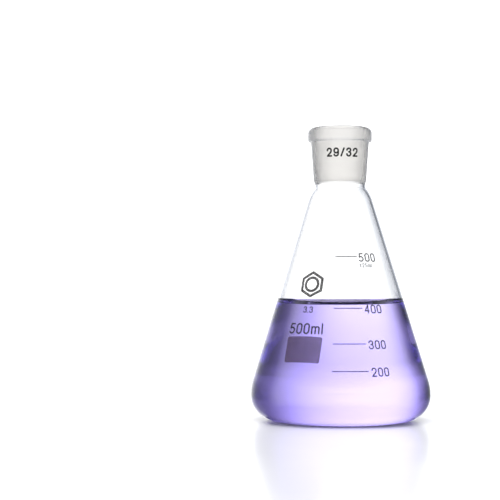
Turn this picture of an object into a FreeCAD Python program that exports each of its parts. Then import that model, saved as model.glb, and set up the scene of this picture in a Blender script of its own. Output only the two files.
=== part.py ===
import FreeCAD, Part
import math
import os

# A 500 ml Erlenmeyer flask with a 29/32 ground socket, part filled with a violet solution.
# Millimetres, +Z up. The origin is the middle of the ring that the flask stands on, and the
# printed scale faces -Y. Angles round the flask (azimuths) are 0 at -Y and grow towards +X.

Vector = FreeCAD.Vector

# ---- Driving dimensions -----------------------------------------------------------------

FLASK_HEIGHT = 171.0
BASE_DIAMETER = 105.0
WALL = 1.5
BASE_THICKNESS = 3.2

# Blown body: a rounded heel, a straight cone and a shoulder that runs into the neck
FOOT_INNER_RADIUS = 33.0  # inner edge of the flat ring that the flask stands on
PUNT_RISE = 1.8  # how far the middle of the underside stands off the table
WIDEST_LEVEL = 15.0
UPPER_HEEL_RADIUS = 29.0  # roundness of the heel above the widest level
CONE_ANGLE = math.radians(17.07)  # of the side to the axis
SHOULDER_ANGLE = math.radians(38.0)  # steepest slope of the shoulder, to the axis
NECK_RADIUS = 14.9
NECK_LEVEL = 137.0
NECK_FILLET = 3.0
SEAL_LEVEL = 137.5  # plane where the socket is flame-sealed to the body

# Ground socket 29/32: a bore of 29.2 mm at the mouth, 1 in 10 taper, ground over 32 mm
MOUTH_DIAMETER = 29.2
TAPER = 0.1  # on the diameter
GROUND_LENGTH = 32.0
TUBE_FOOT_RADIUS = 15.45
TUBE_FOOT_LEVEL = 139.6
TUBE_HEAD_RADIUS = 17.05
BEAD_RADIUS = 18.8
BEAD_FOOT_LEVEL = 162.4
BEAD_LOWER_ROUND = 1.6
BEAD_UPPER_ROUND = 3.2

# Solution: it stands a little above the 400 ml line and creeps up the glass
SOLUTION_LEVEL = 67.0
MENISCUS_RISE = 3.9
MENISCUS_REACH = 5.6

# Enamel marks
ENAMEL = 0.12  # thickness
GRADUATIONS = {200: 31.2, 300: 46.1, 400: 65.8, 500: 94.9}  # levels by volume in ml
LINE_THICKNESS = 0.5
LINE_FROM = math.radians(-9.0)
LINE_TO = math.radians(15.0)
NUMBER_FROM = math.radians(16.9)  # left edge of the numbers
NUMBER_HEIGHT = 5.2
NUMBER_DROP = 0.5  # middle of a number below its line
TOLERANCE_HEIGHT = 2.4
TOLERANCE_DROP = 5.0  # below the 500 ml line
BLOCK_AZIMUTH = math.radians(-31.5)  # middle of the marks left of the scale
SPOT_WIDTH = 22.0
SPOT_HEIGHT = 15.0
SPOT_CORNER = 1.2
SPOT_LEVEL = 42.9
CAPACITY_HEIGHT = 6.4
CAPACITY_LEVEL = 54.4
GLASS_CLASS_HEIGHT = 3.7
GLASS_CLASS_LEVEL = 65.0
EMBLEM_HEIGHT = 15.5
EMBLEM_LEVEL = 79.2
JOINT_SIZE_HEIGHT = 5.3
JOINT_SIZE_LEVEL = 155.4
JOINT_SIZE_AZIMUTH = math.radians(1.7)

# Lettering, as shares of the height of the letters
LETTER_GAP = 0.15
FINE_STROKE = 0.135
BOLD_STROKE = 0.18
EMBLEM_STROKE = 0.1
EMBLEM_RING = 0.28  # radius

# ---- Sections: half outlines in the XZ plane, turned about Z ------------------------------


def on_circle(centre, radius, angle):
    """The point of a circle at an angle from +X towards +Z."""
    return centre + Vector(radius * math.cos(angle), 0, radius * math.sin(angle))


def arc(centre, radius, start, end):
    points = [on_circle(centre, radius, a) for a in (start, (start + end) / 2, end)]
    return Part.Arc(*points).toShape()


def path(*points):
    """Straight edges through points given as (radius, level)."""
    corners = [Vector(radius, 0, level) for radius, level in points]
    return [Part.makeLine(a, b) for a, b in zip(corners, corners[1:])]


def dome(edge_radius, edge_level, rise):
    """The half outline of a shallow dome, from its edge to its top on the axis."""
    sphere = (edge_radius**2 + rise**2) / (2 * rise)
    centre = Vector(0, 0, edge_level + rise - sphere)
    return arc(centre, sphere, math.acos(edge_radius / sphere), math.pi / 2)


def turned(edges, start=0.0, sweep=2 * math.pi):
    """The solid that a closed outline sweeps about Z, from an angle measured from +X."""
    face = Part.Face(Part.Wire(Part.__sortEdges__(edges)))
    solid = face.revolve(Vector(0, 0, 0), Vector(0, 0, 1), math.degrees(sweep))
    solid.rotate(Vector(0, 0, 0), Vector(0, 0, 1), math.degrees(start))
    return solid


# ---- The wall of the body -----------------------------------------------------------------

BASE_RADIUS = BASE_DIAMETER / 2
UPPER_HEEL_CENTRE = Vector(BASE_RADIUS - UPPER_HEEL_RADIUS, 0, WIDEST_LEVEL)
NECK_FILLET_CENTRE = Vector(NECK_RADIUS + NECK_FILLET, 0, NECK_LEVEL)


def cone_foot(depth):
    """Where the straight cone begins, on the surface that lies this deep in the glass."""
    return on_circle(UPPER_HEEL_CENTRE, UPPER_HEEL_RADIUS - depth, CONE_ANGLE)


def cone_radius(level, depth=0.0):
    foot = cone_foot(depth)
    return foot.x - math.tan(CONE_ANGLE) * (level - foot.z)


def tube_radius(level):
    """Outer radius of the socket's tube, which widens upwards."""
    slope = (TUBE_HEAD_RADIUS - TUBE_FOOT_RADIUS) / (BEAD_FOOT_LEVEL - TUBE_FOOT_LEVEL)
    return TUBE_FOOT_RADIUS + slope * (level - TUBE_FOOT_LEVEL)


def shoulder():
    """Centre and radius of the shoulder's arc, which is tangent to the cone and the neck."""
    top = on_circle(NECK_FILLET_CENTRE, -NECK_FILLET, SHOULDER_ANGLE)
    inset = cone_radius(top.z) - top.x
    across = math.cos(CONE_ANGLE) - math.cos(SHOULDER_ANGLE)
    down = math.sin(SHOULDER_ANGLE) - math.sin(CONE_ANGLE)
    radius = inset / (across - math.tan(CONE_ANGLE) * down)
    return on_circle(top, -radius, SHOULDER_ANGLE), radius


def shoulder_foot(depth=0.0):
    """Where the straight cone ends."""
    centre, radius = shoulder()
    return on_circle(centre, radius - depth, CONE_ANGLE)


def heel(depth, floor):
    """The two arcs of the heel: depth is the wall's, floor is the level they start from."""
    lower_radius = WIDEST_LEVEL - floor
    lower_centre = Vector(BASE_RADIUS - depth - lower_radius, 0, WIDEST_LEVEL)
    lower = arc(lower_centre, lower_radius, -math.pi / 2, 0)
    upper = arc(UPPER_HEEL_CENTRE, UPPER_HEEL_RADIUS - depth, 0, CONE_ANGLE)
    return [lower, upper]


def wall_line(depth, floor):
    """The wall's outline from the heel to the seal, at a depth inside the outer surface."""
    centre, radius = shoulder()
    turn = math.pi + SHOULDER_ANGLE
    neck = NECK_RADIUS - depth
    return [
        *heel(depth, floor),
        Part.makeLine(cone_foot(depth), shoulder_foot(depth)),
        arc(centre, radius - depth, CONE_ANGLE, SHOULDER_ANGLE),
        arc(NECK_FILLET_CENTRE, NECK_FILLET + depth, turn, math.pi),
        *path((neck, NECK_LEVEL), (neck, SEAL_LEVEL)),
    ]


def foot_radius(depth, floor):
    """Radius at which the heel leaves the level floor."""
    return BASE_RADIUS - depth - (WIDEST_LEVEL - floor)


def flask_body():
    inside = foot_radius(WALL, BASE_THICKNESS)
    return turned(
        [
            dome(FOOT_INNER_RADIUS, 0, PUNT_RISE),
            *path((FOOT_INNER_RADIUS, 0), (foot_radius(0, 0), 0)),
            *wall_line(0, 0),
            *path((NECK_RADIUS, SEAL_LEVEL), (NECK_RADIUS - WALL, SEAL_LEVEL)),
            *wall_line(WALL, BASE_THICKNESS),
            dome(inside, BASE_THICKNESS, PUNT_RISE),
            *path((0, PUNT_RISE), (0, BASE_THICKNESS + PUNT_RISE)),
        ]
    )


# ---- The ground socket --------------------------------------------------------------------


def ground_socket():
    mouth = MOUTH_DIAMETER / 2
    ground_end = FLASK_HEIGHT - GROUND_LENGTH
    throat = mouth - TAPER / 2 * GROUND_LENGTH
    flare_out = TUBE_FOOT_RADIUS - NECK_RADIUS
    flare_up = TUBE_FOOT_LEVEL - SEAL_LEVEL
    flare_radius = (flare_out**2 + flare_up**2) / (2 * flare_out)
    flare_centre = Vector(NECK_RADIUS + flare_radius, 0, SEAL_LEVEL)
    flare_end = math.pi - math.asin(flare_up / flare_radius)
    lower_round = Vector(
        BEAD_RADIUS - BEAD_LOWER_ROUND, 0, BEAD_FOOT_LEVEL + BEAD_LOWER_ROUND
    )
    upper_round = Vector(
        BEAD_RADIUS - BEAD_UPPER_ROUND, 0, FLASK_HEIGHT - BEAD_UPPER_ROUND
    )
    return turned(
        [
            arc(flare_centre, flare_radius, math.pi, flare_end),
            *path(
                (TUBE_FOOT_RADIUS, TUBE_FOOT_LEVEL),
                (TUBE_HEAD_RADIUS, BEAD_FOOT_LEVEL),
                (lower_round.x, BEAD_FOOT_LEVEL),
            ),
            arc(lower_round, BEAD_LOWER_ROUND, -math.pi / 2, 0),
            *path((BEAD_RADIUS, lower_round.z), (BEAD_RADIUS, upper_round.z)),
            arc(upper_round, BEAD_UPPER_ROUND, 0, math.pi / 2),
            *path(
                (upper_round.x, FLASK_HEIGHT),
                (mouth, FLASK_HEIGHT),
                (throat, ground_end),
                (NECK_RADIUS - WALL, SEAL_LEVEL),
                (NECK_RADIUS, SEAL_LEVEL),
            ),
        ]
    )


# ---- The solution -------------------------------------------------------------------------


def solution():
    crest = SOLUTION_LEVEL + MENISCUS_RISE
    wall = cone_radius(crest, WALL)
    flat = wall - MENISCUS_REACH
    inside = foot_radius(WALL, BASE_THICKNESS)
    foot = cone_foot(WALL)
    curl = (MENISCUS_REACH**2 + MENISCUS_RISE**2) / (2 * MENISCUS_RISE)
    curl_end = math.asin(MENISCUS_REACH / curl) - math.pi / 2
    return turned(
        [
            dome(inside, BASE_THICKNESS, PUNT_RISE),
            *heel(WALL, BASE_THICKNESS),
            *path((foot.x, foot.z), (wall, crest)),
            arc(Vector(flat, 0, SOLUTION_LEVEL + curl), curl, -math.pi / 2, curl_end),
            *path(
                (flat, SOLUTION_LEVEL),
                (0, SOLUTION_LEVEL),
                (0, BASE_THICKNESS + PUNT_RISE),
            ),
        ]
    )


# ---- Lettering: strokes drawn flat, for a height of 1 ---------------------------------------


def straight(start, end):
    """A straight stroke, in two halves because an offset needs more than one edge."""
    start, end = Vector(*start, 0), Vector(*end, 0)
    middle = (start + end) / 2
    return [Part.makeLine(start, middle), Part.makeLine(middle, end)]


def bend(start, through, end):
    return [Part.Arc(*[Vector(*point, 0) for point in (start, through, end)]).toShape()]


def loop(width, bottom, top):
    """A closed upright stroke with round ends."""
    half = width / 2
    return [
        *bend((0, top - half), (half, top), (width, top - half)),
        *straight((width, top - half), (width, bottom + half)),
        *bend((width, bottom + half), (half, bottom), (0, bottom + half)),
        *straight((0, bottom + half), (0, top - half)),
    ]


DIGIT = 0.53
MIDDLE = DIGIT / 2

STROKES = {
    "0": [loop(DIGIT, 0, 1)],
    "2": [
        [
            *bend((0, 1 - MIDDLE), (MIDDLE, 1), (DIGIT, 1 - MIDDLE)),
            *bend((DIGIT, 1 - MIDDLE), (0.47, 0.52), (0.31, 0.33)),
            *straight((0.31, 0.33), (0, 0)),
            *straight((0, 0), (DIGIT, 0)),
        ]
    ],
    "3": [
        [
            *bend((0, 0.78), (0.09, 0.94), (MIDDLE, 1)),
            *bend((MIDDLE, 1), (0.5, 0.765), (MIDDLE, 0.53)),
            *bend((MIDDLE, 0.53), (DIGIT, MIDDLE), (MIDDLE, 0)),
            *bend((MIDDLE, 0), (0.08, 0.07), (0, 0.24)),
        ]
    ],
    "4": [
        [*straight((DIGIT, 0.28), (0, 0.28)), *straight((0, 0.28), (0.4, 1))],
        straight((0.4, 1), (0.4, 0)),
    ],
    "5": [
        [
            *straight((0.48, 1), (0.09, 1)),
            *straight((0.09, 1), (0.04, 0.53)),
            *bend((0.04, 0.53), (DIGIT, 0.3), (0, 0.13)),
        ]
    ],
    "9": [
        loop(DIGIT, 0.4, 1),
        [
            *straight((DIGIT, 0.7), (DIGIT, 0.3)),
            *bend((DIGIT, 0.3), (0.42, 0.06), (0.22, 0)),
            *bend((0.22, 0), (0.08, 0.05), (0.01, 0.2)),
        ],
    ],
    "/": [straight((0, 0), (0.36, 1))],
    "m": [
        straight((0, 0), (0, 0.7)),
        [*bend((0, 0.5), (0.19, 0.7), (0.38, 0.5)), *straight((0.38, 0.5), (0.38, 0))],
        [*bend((0.38, 0.5), (0.57, 0.7), (0.76, 0.5)), *straight((0.76, 0.5), (0.76, 0))],
    ],
    "l": [straight((0, 0), (0, 1))],
    ".": [straight((0, 0), (0, 0.04))],
    "±": [
        straight((0, 0.6), (0.5, 0.6)),
        straight((0.25, 0.9), (0.25, 0.3)),
        straight((0, 0.06), (0.5, 0.06)),
    ],
}


def inked(strokes, scale, width):
    """Flat faces, one for each stroke, once it is scaled and given a width."""
    faces = []
    for stroke in strokes:
        line = Part.Wire(stroke)
        line.scale(scale)
        rims = [line.makeOffset2D(width / 2)]
        if line.isClosed():
            rims.append(line.makeOffset2D(-width / 2))
        faces.append(Part.makeFace(rims, "Part::FaceMakerBullseye"))
    return faces


# ---- Enamel on the glass --------------------------------------------------------------------

PRESS = 3.0  # how far a flat mark is pressed through the curved skin of enamel
CENTRE = Vector(0, 0, 0)
ACROSS = Vector(1, 0, 0)
UPRIGHT = Vector(0, 0, 1)


class Skin:
    """A thin conical layer of enamel on the outside of the glass, between two levels."""

    def __init__(self, low, high, radius_at):
        self.radius_at = radius_at
        self.tilt = math.atan((radius_at(low) - radius_at(high)) / (high - low))
        self.solid = turned(self.section(low, high))

    def section(self, low, high):
        inner = [Vector(self.radius_at(level), 0, level) for level in (low, high)]
        outer = [on_circle(point, ENAMEL, self.tilt) for point in reversed(inner)]
        return Part.makePolygon([*inner, *outer, inner[0]]).Edges

    def band(self, level, height, start, end):
        """Enamel between two azimuths, half above and half below a level."""
        half = height / 2 * math.cos(self.tilt)
        edges = self.section(level - half, level + half)
        return turned(edges, start - math.pi / 2, end - start)

    def stamp(self, faces, azimuth, level):
        """Flat faces, drawn about the origin, set against the skin and pressed into it."""
        blocks = [face.extrude(Vector(0, 0, 2 * PRESS)) for face in faces]
        block = blocks[0].fuse(blocks[1:]).removeSplitter() if blocks[1:] else blocks[0]
        block.translate(Vector(0, 0, -PRESS))
        block.rotate(CENTRE, ACROSS, 90 - math.degrees(self.tilt))
        block.translate(Vector(0, -self.radius_at(level), level))
        block.rotate(CENTRE, UPRIGHT, math.degrees(azimuth))
        return block.common(self.solid)

    def write(self, text, height, stroke, level, left=None, middle=None):
        """Text that follows the skin round, from its left edge or about its middle."""
        pen = height * stroke
        line_height = height - pen
        letters = [inked(STROKES[c], line_height, pen) for c in text]
        widths = [Part.makeCompound(faces).BoundBox.XLength for faces in letters]
        gap = LETTER_GAP * height
        radius = self.radius_at(level)
        length = sum(widths) + gap * (len(text) - 1)
        azimuth = left if middle is None else middle - length / radius / 2
        marks = []
        for faces, width in zip(letters, widths):
            for face in faces:
                face.translate(Vector((pen - width) / 2, -line_height / 2, 0))
            marks.append(self.stamp(faces, azimuth + width / radius / 2, level))
            azimuth += (width + gap) / radius
        return Part.makeCompound([solid for mark in marks for solid in mark.Solids])


def marking_spot(skin):
    """The field to write on: a filled rectangle with rounded corners."""
    wide = SPOT_WIDTH / 2 - SPOT_CORNER
    high = SPOT_HEIGHT / 2 - SPOT_CORNER
    corners = [(-wide, -high), (wide, -high), (wide, high), (-wide, high), (-wide, -high)]
    inner = Part.makePolygon([Vector(x, y, 0) for x, y in corners])
    field = Part.Face(inner.makeOffset2D(SPOT_CORNER))
    return skin.stamp([field], BLOCK_AZIMUTH, SPOT_LEVEL)


def emblem(skin):
    """A plain hexagon with a ring in it, as drawings of ring-shaped molecules have."""
    angles = [math.radians(60 * n) for n in range(7)]
    hexagon = Part.makePolygon([Vector(math.sin(a), math.cos(a), 0) / 2 for a in angles])
    ring = [
        *bend((-EMBLEM_RING, 0), (0, EMBLEM_RING), (EMBLEM_RING, 0)),
        *bend((EMBLEM_RING, 0), (0, -EMBLEM_RING), (-EMBLEM_RING, 0)),
    ]
    pen = EMBLEM_HEIGHT * EMBLEM_STROKE
    faces = inked([hexagon.Edges, ring], EMBLEM_HEIGHT - pen, pen)
    return skin.stamp(faces, BLOCK_AZIMUTH, EMBLEM_LEVEL)


def marks():
    """Every printed mark, by name."""
    cone = Skin(cone_foot(0).z, shoulder_foot().z, cone_radius)
    tube = Skin(TUBE_FOOT_LEVEL, BEAD_FOOT_LEVEL, tube_radius)
    scale_top = max(GRADUATIONS.values())
    block = {"middle": BLOCK_AZIMUTH}
    made = {
        "marking_spot": marking_spot(cone),
        "capacity_mark": cone.write(
            "500ml", CAPACITY_HEIGHT, FINE_STROKE, CAPACITY_LEVEL, **block
        ),
        "glass_class_mark": cone.write(
            "3.3", GLASS_CLASS_HEIGHT, FINE_STROKE, GLASS_CLASS_LEVEL, **block
        ),
        "emblem": emblem(cone),
        "tolerance_mark": cone.write(
            "±25ml",
            TOLERANCE_HEIGHT,
            FINE_STROKE,
            scale_top - TOLERANCE_DROP,
            left=NUMBER_FROM,
        ),
        "joint_size_mark": tube.write(
            "29/32",
            JOINT_SIZE_HEIGHT,
            BOLD_STROKE,
            JOINT_SIZE_LEVEL,
            middle=JOINT_SIZE_AZIMUTH,
        ),
    }
    for volume, level in GRADUATIONS.items():
        made[f"graduation_line_{volume}"] = cone.band(
            level, LINE_THICKNESS, LINE_FROM, LINE_TO
        )
        made[f"graduation_number_{volume}"] = cone.write(
            str(volume), NUMBER_HEIGHT, FINE_STROKE, level - NUMBER_DROP, left=NUMBER_FROM
        )
    return made


nodes = {
    "flask_body": flask_body(),
    "ground_socket": ground_socket(),
    "solution": solution(),
    **marks(),
}
os.makedirs("parts", exist_ok=True)
for name, shape in nodes.items():
    shape.exportStep(f"parts/{name}.step")
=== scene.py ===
import math
import bmesh
import bpy
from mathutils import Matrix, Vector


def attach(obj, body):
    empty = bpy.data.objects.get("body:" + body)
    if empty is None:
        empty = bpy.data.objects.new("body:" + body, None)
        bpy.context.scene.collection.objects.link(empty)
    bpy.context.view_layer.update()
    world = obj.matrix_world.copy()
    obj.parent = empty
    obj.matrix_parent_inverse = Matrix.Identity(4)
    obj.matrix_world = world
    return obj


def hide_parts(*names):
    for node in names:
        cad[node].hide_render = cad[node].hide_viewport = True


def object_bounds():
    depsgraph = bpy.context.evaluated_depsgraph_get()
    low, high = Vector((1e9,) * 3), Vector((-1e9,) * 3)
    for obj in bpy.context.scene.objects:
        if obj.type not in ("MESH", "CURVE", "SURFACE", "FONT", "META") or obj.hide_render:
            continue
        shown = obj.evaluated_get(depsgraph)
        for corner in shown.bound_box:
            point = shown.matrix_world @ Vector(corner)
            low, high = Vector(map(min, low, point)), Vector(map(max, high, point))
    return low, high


# A 500 ml conical flask of clear glass with a ground socket, part filled with a violet solution,
# on a white table in front of a broad soft backlight, with a bright ceiling and a pale room.
# Metres, +Z up. The flask stands on the origin and its printed side faces -Y.

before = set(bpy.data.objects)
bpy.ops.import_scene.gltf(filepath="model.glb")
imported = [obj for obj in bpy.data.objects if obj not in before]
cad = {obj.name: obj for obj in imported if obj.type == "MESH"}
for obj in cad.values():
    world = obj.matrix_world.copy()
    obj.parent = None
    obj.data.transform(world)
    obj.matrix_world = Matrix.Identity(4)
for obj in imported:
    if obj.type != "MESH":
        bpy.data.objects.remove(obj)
cad_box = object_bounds()

MM = 0.001

# ---- Dimensions of the glass, the same as the CAD part's ----------------------------------

WALL = 1.5 * MM
BASE_THICKNESS = 3.2 * MM
BASE_RADIUS = 52.5 * MM
FOOT_INNER_RADIUS = 33.0 * MM
PUNT_RISE = 1.8 * MM
WIDEST_LEVEL = 15.0 * MM
UPPER_HEEL_RADIUS = 29.0 * MM
CONE_ANGLE = math.radians(17.07)
SHOULDER_ANGLE = math.radians(38.0)
NECK_RADIUS = 14.9 * MM
NECK_LEVEL = 137.0 * MM
NECK_FILLET = 3.0 * MM
SEAL_LEVEL = 137.5 * MM
FLASK_HEIGHT = 171.0 * MM
MOUTH_RADIUS = 14.6 * MM
BORE_SLOPE = 0.05
GROUND_LENGTH = 32.0 * MM
TUBE_FOOT_RADIUS = 15.45 * MM
TUBE_FOOT_LEVEL = 139.6 * MM
TUBE_HEAD_RADIUS = 17.05 * MM
BEAD_RADIUS = 18.8 * MM
BEAD_FOOT_LEVEL = 162.4 * MM
BEAD_LOWER_ROUND = 1.6 * MM
BEAD_UPPER_ROUND = 3.2 * MM
MOUTH_ROUND = 0.4 * MM  # the mouth's inner edge is fire-softened
SOLUTION_LEVEL = 67.0 * MM
MENISCUS_RISE = 3.9 * MM
MENISCUS_REACH = 5.6 * MM
WETTING = 0.04 * MM  # how far the solution's outside lies in the glass, so no film of air is left

# ---- How finely the glass is turned --------------------------------------------------------

SEGMENTS = 200
LONGEST_STEP = 2.5 * MM
ARC_STEP = math.radians(2.5)
FEWEST_ARC_STEPS = 4
SHARP_EDGE = math.radians(35)
SAME_POINT = 1e-7

# ---- Camera --------------------------------------------------------------------------------

CAMERA_DISTANCE = 0.800
CAMERA_SIDE = -0.0528
CAMERA_HEIGHT = 0.078
CAMERA_TILT = math.radians(1.53)
CAMERA_LENS = 98.2
CAMERA_SENSOR = 36
CAMERA_CLIP = 0.01

# ---- Materials -----------------------------------------------------------------------------

WHITE = (1, 1, 1, 1)
GLASS_IOR = 1.474
CLEAR_TINT = (0.985, 0.99, 0.99, 1)
EDGE_TINT_AND_PAINTED_SHADE = (0.7, 0.73, 0.78, 1)  # painted shade where the glass is seen edge on, with a little of the real tint of the long path through it there
EDGE_FROM = 0.6  # 1 less the cosine of the angle that the surface is seen at
EDGE_FULL = 0.9
GROUND_TINT = (0.83, 0.805, 0.765, 1)
SOLUTION_IOR = 1.335
SOLUTION_TINT = (0.925, 0.87, 1, 1)
SOLUTION_PALE_TINT = (0.945, 0.9, 1, 1)
DYE = (0.28, 0.17, 0.86, 1)
DYE_DENSITY = 10.5
ENAMEL_IOR = 1.5
ENAMEL_SHADE = 0.8  # of its colour, where the enamel lies thicker
SCALE_ENAMEL = (0.03, 0.025, 0.028)
FIELD_ENAMEL = (0.07, 0.03, 0.055)
JOINT_ENAMEL = (0.012, 0.012, 0.01)
NOISE_LOW = 0.3  # where most of a noise's values lie
NOISE_HIGH = 0.7

# ---- Light, as radiance ----------------------------------------------------------------------

BACKLIGHT_AZIMUTH = math.radians(-5.0)  # from +Y, towards +X
BACKLIGHT_WIDTH = math.radians(25.6)  # to each side, down to 1 part in 2.7
BACKLIGHT_FALLOFF = 2.5  # the higher, the flatter its middle and the steeper its sides
BACKLIGHT_TOP = 0.38  # sine of the elevation at which it and the room start to fade
BACKLIGHT_END = 0.55
BACKLIGHT = 1.5
BACKLIGHT_ON_SOLUTION = 2.4  # for light that comes through the solution
DIM = 0.16  # beside the backlight
DIM_ON_SOLUTION = 0.21
DIM_TINT = (0.88, 0.93, 1.06, 1)
DIM_TINT_ON_SOLUTION = (0.92, 0.84, 1.3, 1)
ROOM = 1.0  # the rest of the room, from the sides round to the camera's end
ROOM_FROM = math.radians(58)  # from the backlight's middle
ROOM_FULL = math.radians(88)
CEILING = 3.0
CEILING_IN_SOLUTION = 0.2  # what is left of it for light that the solution's surface turns down
CEILING_FROM = 0.66  # sine of the elevation
CEILING_FULL = 0.95
EMPTY_GLASS_WALLS = 4  # surfaces that light crosses where there is no solution

# ---- Table -----------------------------------------------------------------------------------

TABLE_RADIUS = 6.0
TABLE_SEGMENTS = 96
TABLE_WHITE = (0.93, 0.93, 0.93, 1)
TABLE_IOR = 1.25
TABLE_PAINTED_SHADE = (0.04, 0.04, 0.05, 1)  # painted shade: how the table looks at steep angles to light that a surface has mirrored, as when the solution's surface turns it down
POLISH_ROUGHNESS = 0.04
SKIM_FROM = 0.42  # 1 less the sine of the elevation below which light starts to be mirrored
SKIM_FULL = 0.56
SKIM_MIRRORED = 0.68  # share that is mirrored there, up to all of it along the table

# ---- How often light may bend and bounce -------------------------------------------------------

LIGHT_BOUNCES = 32  # enough to cross eight walls of glass
GLOSSY_BOUNCES = 8


# ---- Half outlines, as points (radius, level) ------------------------------------------------


def on_circle(centre, radius, angle):
    return (
        centre[0] + radius * math.cos(angle),
        centre[1] + radius * math.sin(angle),
    )


def arc(centre, radius, start, end):
    steps = max(FEWEST_ARC_STEPS, math.ceil(abs(end - start) / ARC_STEP))
    return [
        on_circle(centre, radius, start + (end - start) * n / steps)
        for n in range(steps + 1)
    ]


def line(start, end):
    """A straight run, in steps short enough that its shading stays true."""
    length = math.dist(start, end)
    steps = max(1, math.ceil(length / LONGEST_STEP))
    return [
        (
            start[0] + (end[0] - start[0]) * n / steps,
            start[1] + (end[1] - start[1]) * n / steps,
        )
        for n in range(steps + 1)
    ]


def dome(edge_radius, edge_level, rise):
    """From the edge of a shallow dome to its top on the axis."""
    sphere = (edge_radius**2 + rise**2) / (2 * rise)
    steps = math.ceil(edge_radius / LONGEST_STEP)
    points = []
    for n in range(steps + 1):
        radius = edge_radius * (1 - n / steps)
        drop = sphere - math.sqrt(sphere**2 - radius**2)
        points.append((radius, edge_level + rise - drop))
    return points


def joined(*runs):
    """Runs of points end to end, with each shared end kept once."""
    points = []
    for run in runs:
        for point in run:
            if not points or math.dist(point, points[-1]) > SAME_POINT:
                points.append(point)
    return points


UPPER_HEEL_CENTRE = (BASE_RADIUS - UPPER_HEEL_RADIUS, WIDEST_LEVEL)
NECK_FILLET_CENTRE = (NECK_RADIUS + NECK_FILLET, NECK_LEVEL)


def cone_foot(depth):
    return on_circle(UPPER_HEEL_CENTRE, UPPER_HEEL_RADIUS - depth, CONE_ANGLE)


def cone_radius(level, depth):
    foot = cone_foot(depth)
    return foot[0] - math.tan(CONE_ANGLE) * (level - foot[1])


def shoulder():
    """Centre and radius of the shoulder's arc."""
    top = on_circle(NECK_FILLET_CENTRE, -NECK_FILLET, SHOULDER_ANGLE)
    inset = cone_radius(top[1], 0) - top[0]
    across = math.cos(CONE_ANGLE) - math.cos(SHOULDER_ANGLE)
    down = math.sin(SHOULDER_ANGLE) - math.sin(CONE_ANGLE)
    radius = inset / (across - math.tan(CONE_ANGLE) * down)
    return on_circle(top, -radius, SHOULDER_ANGLE), radius


def foot_radius(depth, floor):
    return BASE_RADIUS - depth - (WIDEST_LEVEL - floor)


def heel(depth, floor):
    lower_radius = WIDEST_LEVEL - floor
    lower_centre = (BASE_RADIUS - depth - lower_radius, WIDEST_LEVEL)
    lower = arc(lower_centre, lower_radius, -math.pi / 2, 0)
    upper = arc(UPPER_HEEL_CENTRE, UPPER_HEEL_RADIUS - depth, 0, CONE_ANGLE)
    return joined(lower, upper)


def wall_line(depth, floor):
    """From the foot up to the seal, at a depth inside the outer surface."""
    centre, radius = shoulder()
    turn = math.pi + SHOULDER_ANGLE
    neck = NECK_RADIUS - depth
    top = on_circle(centre, radius - depth, CONE_ANGLE)
    return joined(
        heel(depth, floor),
        line(cone_foot(depth), top),
        arc(centre, radius - depth, CONE_ANGLE, SHOULDER_ANGLE),
        arc(NECK_FILLET_CENTRE, NECK_FILLET + depth, turn, math.pi),
        line((neck, NECK_LEVEL), (neck, SEAL_LEVEL)),
    )


def body_outlines():
    """The outside and the inside of the body. They stop at the seal, where the glass runs on."""
    outside = joined(
        list(reversed(dome(FOOT_INNER_RADIUS, 0, PUNT_RISE))),
        line((FOOT_INNER_RADIUS, 0), (foot_radius(0, 0), 0)),
        wall_line(0, 0),
    )
    inside = joined(
        list(reversed(wall_line(WALL, BASE_THICKNESS))),
        dome(foot_radius(WALL, BASE_THICKNESS), BASE_THICKNESS, PUNT_RISE),
    )
    return outside, inside


def socket_outlines():
    """The clear outside of the socket, from the seal to the mouth, and the bore back down."""
    throat = MOUTH_RADIUS - BORE_SLOPE * GROUND_LENGTH
    ground_end = FLASK_HEIGHT - GROUND_LENGTH
    flare_out = TUBE_FOOT_RADIUS - NECK_RADIUS
    flare_up = TUBE_FOOT_LEVEL - SEAL_LEVEL
    flare_radius = (flare_out**2 + flare_up**2) / (2 * flare_out)
    flare_centre = (NECK_RADIUS + flare_radius, SEAL_LEVEL)
    flare_end = math.pi - math.asin(flare_up / flare_radius)
    lower = (BEAD_RADIUS - BEAD_LOWER_ROUND, BEAD_FOOT_LEVEL + BEAD_LOWER_ROUND)
    upper = (BEAD_RADIUS - BEAD_UPPER_ROUND, FLASK_HEIGHT - BEAD_UPPER_ROUND)
    edge = (MOUTH_RADIUS + MOUTH_ROUND, FLASK_HEIGHT - MOUTH_ROUND)
    outside = joined(
        arc(flare_centre, flare_radius, math.pi, flare_end),
        line((TUBE_FOOT_RADIUS, TUBE_FOOT_LEVEL), (TUBE_HEAD_RADIUS, BEAD_FOOT_LEVEL)),
        line((TUBE_HEAD_RADIUS, BEAD_FOOT_LEVEL), (lower[0], BEAD_FOOT_LEVEL)),
        arc(lower, BEAD_LOWER_ROUND, -math.pi / 2, 0),
        line((BEAD_RADIUS, lower[1]), (BEAD_RADIUS, upper[1])),
        arc(upper, BEAD_UPPER_ROUND, 0, math.pi / 2),
        line((upper[0], FLASK_HEIGHT), (edge[0], FLASK_HEIGHT)),
        arc(edge, MOUTH_ROUND, math.pi / 2, math.pi),
    )
    bore = line((MOUTH_RADIUS, edge[1]), (throat, ground_end))
    below = line((throat, ground_end), (NECK_RADIUS - WALL, SEAL_LEVEL))
    return outside, bore, below


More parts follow.
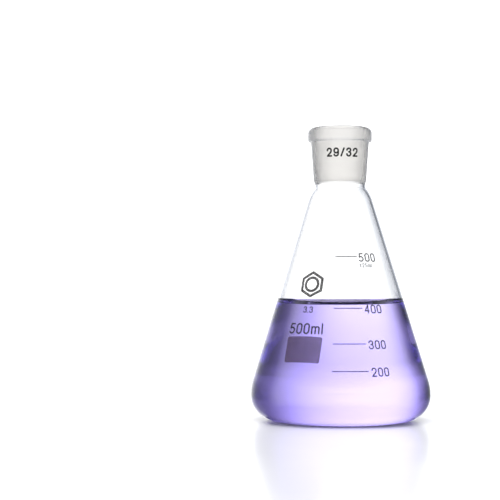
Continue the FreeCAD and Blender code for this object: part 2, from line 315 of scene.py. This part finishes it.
def solution_outline():
    depth = WALL - WETTING
    floor = BASE_THICKNESS - WETTING
    crest = SOLUTION_LEVEL + MENISCUS_RISE
    wall = cone_radius(crest, WALL)
    flat = wall - MENISCUS_REACH
    curl = (MENISCUS_REACH**2 + MENISCUS_RISE**2) / (2 * MENISCUS_RISE)
    curl_end = math.asin(MENISCUS_REACH / curl) - math.pi / 2
    curl_centre = (flat, SOLUTION_LEVEL + curl)
    return joined(
        list(reversed(dome(foot_radius(depth, floor), floor, PUNT_RISE))),
        heel(depth, floor),
        line(cone_foot(depth), (cone_radius(crest, depth), crest)),
        list(reversed(arc(curl_centre, curl, -math.pi / 2, curl_end))),
        line((flat, SOLUTION_LEVEL), (0, SOLUTION_LEVEL)),
    )


# ---- Turning an outline into a mesh ----------------------------------------------------------


def turned(name, runs):
    """A smooth mesh turned about Z. runs are (points, material index), end to end."""
    mesh = bmesh.new()
    rings = []
    for points, material in runs:
        for n, (radius, level) in enumerate(points):
            if rings and n == 0:
                continue
            if radius < SAME_POINT:
                ring = [mesh.verts.new((0, 0, level))]
            else:
                turns = [2 * math.pi * k / SEGMENTS for k in range(SEGMENTS)]
                ring = [
                    mesh.verts.new((radius * math.cos(a), radius * math.sin(a), level))
                    for a in turns
                ]
            if rings:
                bridge(mesh, rings[-1], ring, material)
            rings.append(ring)
    data = bpy.data.meshes.new(name)
    mesh.to_mesh(data)
    mesh.free()
    data.shade_smooth()
    data.set_sharp_from_angle(angle=SHARP_EDGE)
    piece = bpy.data.objects.new(name, data)
    bpy.context.scene.collection.objects.link(piece)
    return piece


def bridge(mesh, low, high, material):
    """Faces between two rings, facing right of the outline's direction."""
    for k in range(SEGMENTS):
        following = (k + 1) % SEGMENTS
        corners = [low[k % len(low)], low[following % len(low)]]
        corners += [high[following % len(high)], high[k % len(high)]]
        distinct = list(dict.fromkeys(corners))
        face = mesh.faces.new(distinct)
        face.material_index = material


# ---- Material graphs --------------------------------------------------------------------------


class Graph:
    """Short ways to add and link shader nodes."""

    def __init__(self, tree):
        self.tree = tree
        tree.nodes.clear()

    def add(self, kind, settings=None, **inputs):
        node = self.tree.nodes.new(kind)
        for name, value in (settings or {}).items():
            setattr(node, name, value)
        for name, value in inputs.items():
            self.put(node, name.replace("_", " "), value)
        return node

    def put(self, node, socket, value):
        target = node.inputs[socket]
        if isinstance(value, bpy.types.NodeSocket):
            self.tree.links.new(value, target)
        else:
            target.default_value = value

    def math(self, operation, *values):
        node = self.tree.nodes.new("ShaderNodeMath")
        node.operation = operation
        for n, value in enumerate(values):
            self.put(node, n, value)
        return node.outputs[0]

    def noise(self, *, scale, detail=3.0, stretch=(1, 1, 1)):
        """Noise in the object's own space: scale is in cells to a metre."""
        place = self.add("ShaderNodeTexCoord").outputs["Object"]
        mapping = self.add("ShaderNodeMapping", Vector=place, Scale=stretch)
        node = self.add(
            "ShaderNodeTexNoise", Vector=mapping.outputs[0], Scale=scale, Detail=detail
        )
        return node.outputs["Fac"]

    def spread(self, noise, low, high):
        """A noise spread from low to high."""
        node = self.add(
            "ShaderNodeMapRange",
            Value=noise,
            From_Min=NOISE_LOW,
            From_Max=NOISE_HIGH,
            To_Min=low,
            To_Max=high,
        )
        return node.outputs[0]

    def ramp(self, value, start, end, low, high):
        """A value eased from low at start to high at end."""
        node = self.add(
            "ShaderNodeMapRange",
            {"interpolation_type": "SMOOTHSTEP"},
            Value=value,
            From_Min=start,
            From_Max=end,
            To_Min=low,
            To_Max=high,
        )
        return node.outputs[0]

    def blended(self, share, first, second):
        """A number between two others."""
        node = self.add(
            "ShaderNodeMix", {"data_type": "FLOAT"}, Factor=share, A=first, B=second
        )
        return node.outputs["Result"]

    def tone(self, share, first, second):
        """A colour between two others."""
        node = self.add(
            "ShaderNodeMix", {"data_type": "RGBA"}, Factor=share, A=first, B=second
        )
        return node.outputs["Result"]

    def mixed(self, share, first, second):
        """A shader between two others."""
        node = self.add("ShaderNodeMixShader", Fac=share)
        self.tree.links.new(first.outputs[0], node.inputs[1])
        self.tree.links.new(second.outputs[0], node.inputs[2])
        return node

    def bump(self, height, *, strength, distance):
        node = self.add("ShaderNodeBump", Height=height, Strength=strength, Distance=distance)
        return node.outputs[0]

    def light_history(self):
        """Whether light came through the solution, and whether a surface has mirrored it."""
        light = self.add("ShaderNodeLightPath").outputs
        crossed = light["Transmission Depth"]
        through_solution = self.math("GREATER_THAN", crossed, EMPTY_GLASS_WALLS)
        return through_solution, self.math("GREATER_THAN", light["Glossy Depth"], 0)


def material(name):
    made = bpy.data.materials.new(name)
    made.use_nodes = True
    return made, Graph(made.node_tree)


def clear_glass():
    """Blown borosilicate glass: clear, with the faint long waves of blowing, and painted shade
    where it is seen edge on.
    """
    made, graph = material("clear_glass")
    waves = graph.noise(scale=22, detail=1.0, stretch=(1, 1, 0.45))
    haze = graph.noise(scale=90)
    # Painted shade: the glass's colour darkens where its surface is seen edge on
    edge = graph.add("ShaderNodeLayerWeight", Blend=0.5).outputs["Facing"]
    edge_tint_and_shade_share = graph.ramp(edge, EDGE_FROM, EDGE_FULL, 0.0, 1.0)
    shader = graph.add(
        "ShaderNodeBsdfPrincipled",
        Base_Color=graph.tone(edge_tint_and_shade_share, CLEAR_TINT, EDGE_TINT_AND_PAINTED_SHADE),
        Roughness=graph.spread(haze, 0.0, 0.012),
        IOR=GLASS_IOR,
        Transmission_Weight=1.0,
        Normal=graph.bump(waves, strength=0.05, distance=0.6 * MM),
    )
    graph.add("ShaderNodeOutputMaterial", Surface=shader.outputs[0])
    return made


def ground_glass():
    """The bore's ground surface: an even fine matt, with faint rings left by the grinding."""
    made, graph = material("ground_glass")
    rings = graph.noise(scale=260, detail=2.0, stretch=(0.25, 0.25, 6))
    grain = graph.noise(scale=2600, detail=4.0)
    shader = graph.add(
        "ShaderNodeBsdfPrincipled",
        Base_Color=GROUND_TINT,
        Roughness=graph.spread(rings, 0.52, 0.66),
        IOR=GLASS_IOR,
        Transmission_Weight=1.0,
        Normal=graph.bump(grain, strength=0.5, distance=0.04 * MM),
    )
    graph.add("ShaderNodeOutputMaterial", Surface=shader.outputs[0])
    return made


def violet_solution():
    """Water with a violet dye, with the faintest streaks of mixing."""
    made, graph = material("violet_solution")
    streaks = graph.noise(scale=30, detail=1.0, stretch=(1, 1, 3))
    streaky = graph.spread(streaks, 0.0, 1.0)
    shader = graph.add(
        "ShaderNodeBsdfPrincipled",
        Base_Color=graph.tone(streaky, SOLUTION_TINT, SOLUTION_PALE_TINT),
        Roughness=0.0,
        IOR=SOLUTION_IOR,
        Transmission_Weight=1.0,
    )
    dye = graph.add("ShaderNodeVolumeAbsorption", Color=DYE, Density=DYE_DENSITY)
    graph.add("ShaderNodeOutputMaterial", Surface=shader.outputs[0], Volume=dye.outputs[0])
    return made


def enamel(name, colour, thin, thick):
    """Fired-on print whose cover runs from thin to thick, so that a little light comes through."""
    made, graph = material(name)
    uneven = graph.noise(scale=420)
    pores = graph.noise(scale=5200, detail=2.0)
    shade = tuple(ENAMEL_SHADE * c for c in colour)
    thickness = graph.spread(uneven, 0.0, 1.0)
    shader = graph.add(
        "ShaderNodeBsdfPrincipled",
        Base_Color=graph.tone(thickness, (*colour, 1), (*shade, 1)),
        Roughness=graph.spread(uneven, 0.42, 0.58),
        IOR=ENAMEL_IOR,
        Alpha=graph.spread(uneven, thin, thick),
        Normal=graph.bump(pores, strength=0.3, distance=0.02 * MM),
    )
    graph.add("ShaderNodeOutputMaterial", Surface=shader.outputs[0])
    return made


def table_top():
    """White acrylic: pale to look at, a mirror for light that skims it into the solution, and
    painted shade for steep light that a surface has mirrored.
    """
    made, graph = material("table_top")
    smears = graph.noise(scale=9)
    pale = graph.add(
        "ShaderNodeBsdfPrincipled",
        Base_Color=TABLE_WHITE,
        Roughness=graph.spread(smears, 0.19, 0.23),
        IOR=TABLE_IOR,
    )
    facing = graph.add("ShaderNodeLayerWeight", Blend=0.5).outputs["Facing"]
    mirrored = graph.ramp(facing, SKIM_FULL, 1.0, SKIM_MIRRORED, 1.0)
    polish = graph.add("ShaderNodeBsdfGlossy", Color=mirrored, Roughness=POLISH_ROUGHNESS)
    # Painted shade: the table is dark to steep light that a surface has mirrored
    painted_shade = graph.add("ShaderNodeBsdfDiffuse", Color=TABLE_PAINTED_SHADE)
    through_solution, reflected = graph.light_history()
    skimming = graph.ramp(facing, SKIM_FROM, SKIM_FULL, 0.0, 1.0)
    mirror = graph.mixed(skimming, graph.mixed(reflected, pale, painted_shade), polish)
    shader = graph.mixed(graph.math("MAXIMUM", through_solution, reflected), pale, mirror)
    graph.add("ShaderNodeOutputMaterial", Surface=shader.outputs[0])
    return made


# ---- The pieces -------------------------------------------------------------------------------


def place(piece, node, slot, materials):
    """Puts a finer piece in a CAD node's place."""
    for made in materials:
        piece.data.materials.append(made)
    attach(piece, "root")
    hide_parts(node)


def glassware():
    clear = clear_glass()
    ground = ground_glass()
    outside, inside = body_outlines()
    body = turned("body_glass", [(outside, 0)])
    lining = turned("body_lining", [(inside, 0)])
    merge(body, lining)
    place(body, "flask_body", "body_glass", [clear])
    outside, bore, below = socket_outlines()
    socket = turned("socket_glass", [(outside, 0), (bore, 1), (below, 0)])
    place(socket, "ground_socket", "socket_glass", [clear, ground])
    liquid = turned("violet_solution", [(solution_outline(), 0)])
    place(liquid, "solution", "solution", [violet_solution()])


def merge(piece, other):
    """Adds another object's mesh to a piece, and removes that object."""
    mesh = bmesh.new()
    mesh.from_mesh(piece.data)
    mesh.from_mesh(other.data)
    mesh.to_mesh(piece.data)
    mesh.free()
    data = other.data
    bpy.data.objects.remove(other)
    bpy.data.meshes.remove(data)


def prints():
    """The CAD part's own prints, each with its enamel."""
    scale = enamel("scale_enamel", SCALE_ENAMEL, thin=0.7, thick=0.78)
    field = enamel("field_enamel", FIELD_ENAMEL, thin=0.48, thick=0.54)
    black = enamel("joint_enamel", JOINT_ENAMEL, thin=0.93, thick=0.98)
    special = {"marking_spot": field, "joint_size_mark": black, "glass_class_mark": black}
    replaced = ("flask_body", "ground_socket", "solution")
    for name, node in cad.items():
        if name in replaced:
            continue
        node.data.materials.clear()
        node.data.materials.append(special.get(name, scale))


# ---- The studio ---------------------------------------------------------------------------------


def studio_light():
    """One broad backlight, dim on both sides of it, a bright ceiling and a pale room."""
    world = bpy.data.worlds.new("studio")
    bpy.context.scene.world = world
    world.use_nodes = True
    graph = Graph(world.node_tree)
    through_solution, reflected = graph.light_history()
    looked_at = graph.add("ShaderNodeLightPath").outputs["Is Camera Ray"]
    direction = graph.add("ShaderNodeTexCoord").outputs["Generated"]
    axes = graph.add("ShaderNodeSeparateXYZ", Vector=direction).outputs

    # The backlight, with the room from its sides round to the camera's end
    azimuth = graph.math("ARCTAN2", axes["X"], axes["Y"])
    off = graph.math("ABSOLUTE", graph.math("SUBTRACT", azimuth, BACKLIGHT_AZIMUTH))
    share = graph.math("DIVIDE", off, BACKLIGHT_WIDTH)
    falling = graph.math("MULTIPLY", graph.math("POWER", share, BACKLIGHT_FALLOFF), -1.0)
    fading = graph.ramp(axes["Z"], BACKLIGHT_TOP, BACKLIGHT_END, 1.0, 0.0)
    lobe = graph.math("MULTIPLY", graph.math("EXPONENT", falling), fading)
    power = graph.blended(through_solution, BACKLIGHT, BACKLIGHT_ON_SOLUTION)
    room = graph.math("MULTIPLY", graph.ramp(off, ROOM_FROM, ROOM_FULL, 0.0, ROOM), fading)
    dim = graph.blended(through_solution, DIM, DIM_ON_SOLUTION)
    level = graph.math("MULTIPLY_ADD", lobe, power, graph.math("MAXIMUM", room, dim))

    # The ceiling
    above = graph.ramp(axes["Z"], CEILING_FROM, CEILING_FULL, 0.0, 1.0)
    turned_down = graph.math("MULTIPLY", reflected, through_solution)
    ceiling = graph.blended(turned_down, CEILING, CEILING_IN_SOLUTION)
    strength = graph.blended(above, level, ceiling)

    # Only the dim parts are tinted, and the backdrop is white to look at
    lit = graph.math("MAXIMUM", lobe, graph.ramp(room, 0.0, ROOM, 0.0, 1.0))
    untinted = graph.math("MAXIMUM", graph.math("MAXIMUM", lit, above), looked_at)
    tint = graph.tone(through_solution, DIM_TINT, DIM_TINT_ON_SOLUTION)
    backdrop = graph.add(
        "ShaderNodeBackground",
        Color=graph.tone(untinted, tint, WHITE),
        Strength=graph.math("MAXIMUM", strength, looked_at),
    )
    graph.add("ShaderNodeOutputWorld", Surface=backdrop.outputs[0])


def table():
    """A round table that reaches far past what the camera sees."""
    mesh = bmesh.new()
    bmesh.ops.create_circle(
        mesh, cap_ends=True, radius=TABLE_RADIUS, segments=TABLE_SEGMENTS
    )
    data = bpy.data.meshes.new("table_top")
    mesh.to_mesh(data)
    mesh.free()
    data.materials.append(table_top())
    top = bpy.data.objects.new("table_top", data)
    bpy.context.scene.collection.objects.link(top)
    top.location.z = cad_box[0].z


def camera():
    data = bpy.data.cameras.new("camera")
    data.lens = CAMERA_LENS
    data.sensor_width = CAMERA_SENSOR
    data.clip_start = CAMERA_CLIP
    eye = bpy.data.objects.new("camera", data)
    eye.location = (CAMERA_SIDE, -CAMERA_DISTANCE, cad_box[0].z + CAMERA_HEIGHT)
    eye.rotation_euler = (math.pi / 2 + CAMERA_TILT, 0, 0)
    bpy.context.scene.collection.objects.link(eye)
    bpy.context.scene.camera = eye


def light_transport():
    scene = bpy.context.scene
    scene.view_settings.view_transform = "Standard"
    scene.cycles.max_bounces = LIGHT_BOUNCES
    scene.cycles.transmission_bounces = LIGHT_BOUNCES
    scene.cycles.transparent_max_bounces = LIGHT_BOUNCES
    scene.cycles.glossy_bounces = GLOSSY_BOUNCES


glassware()
prints()
studio_light()
table()
camera()
light_transport()
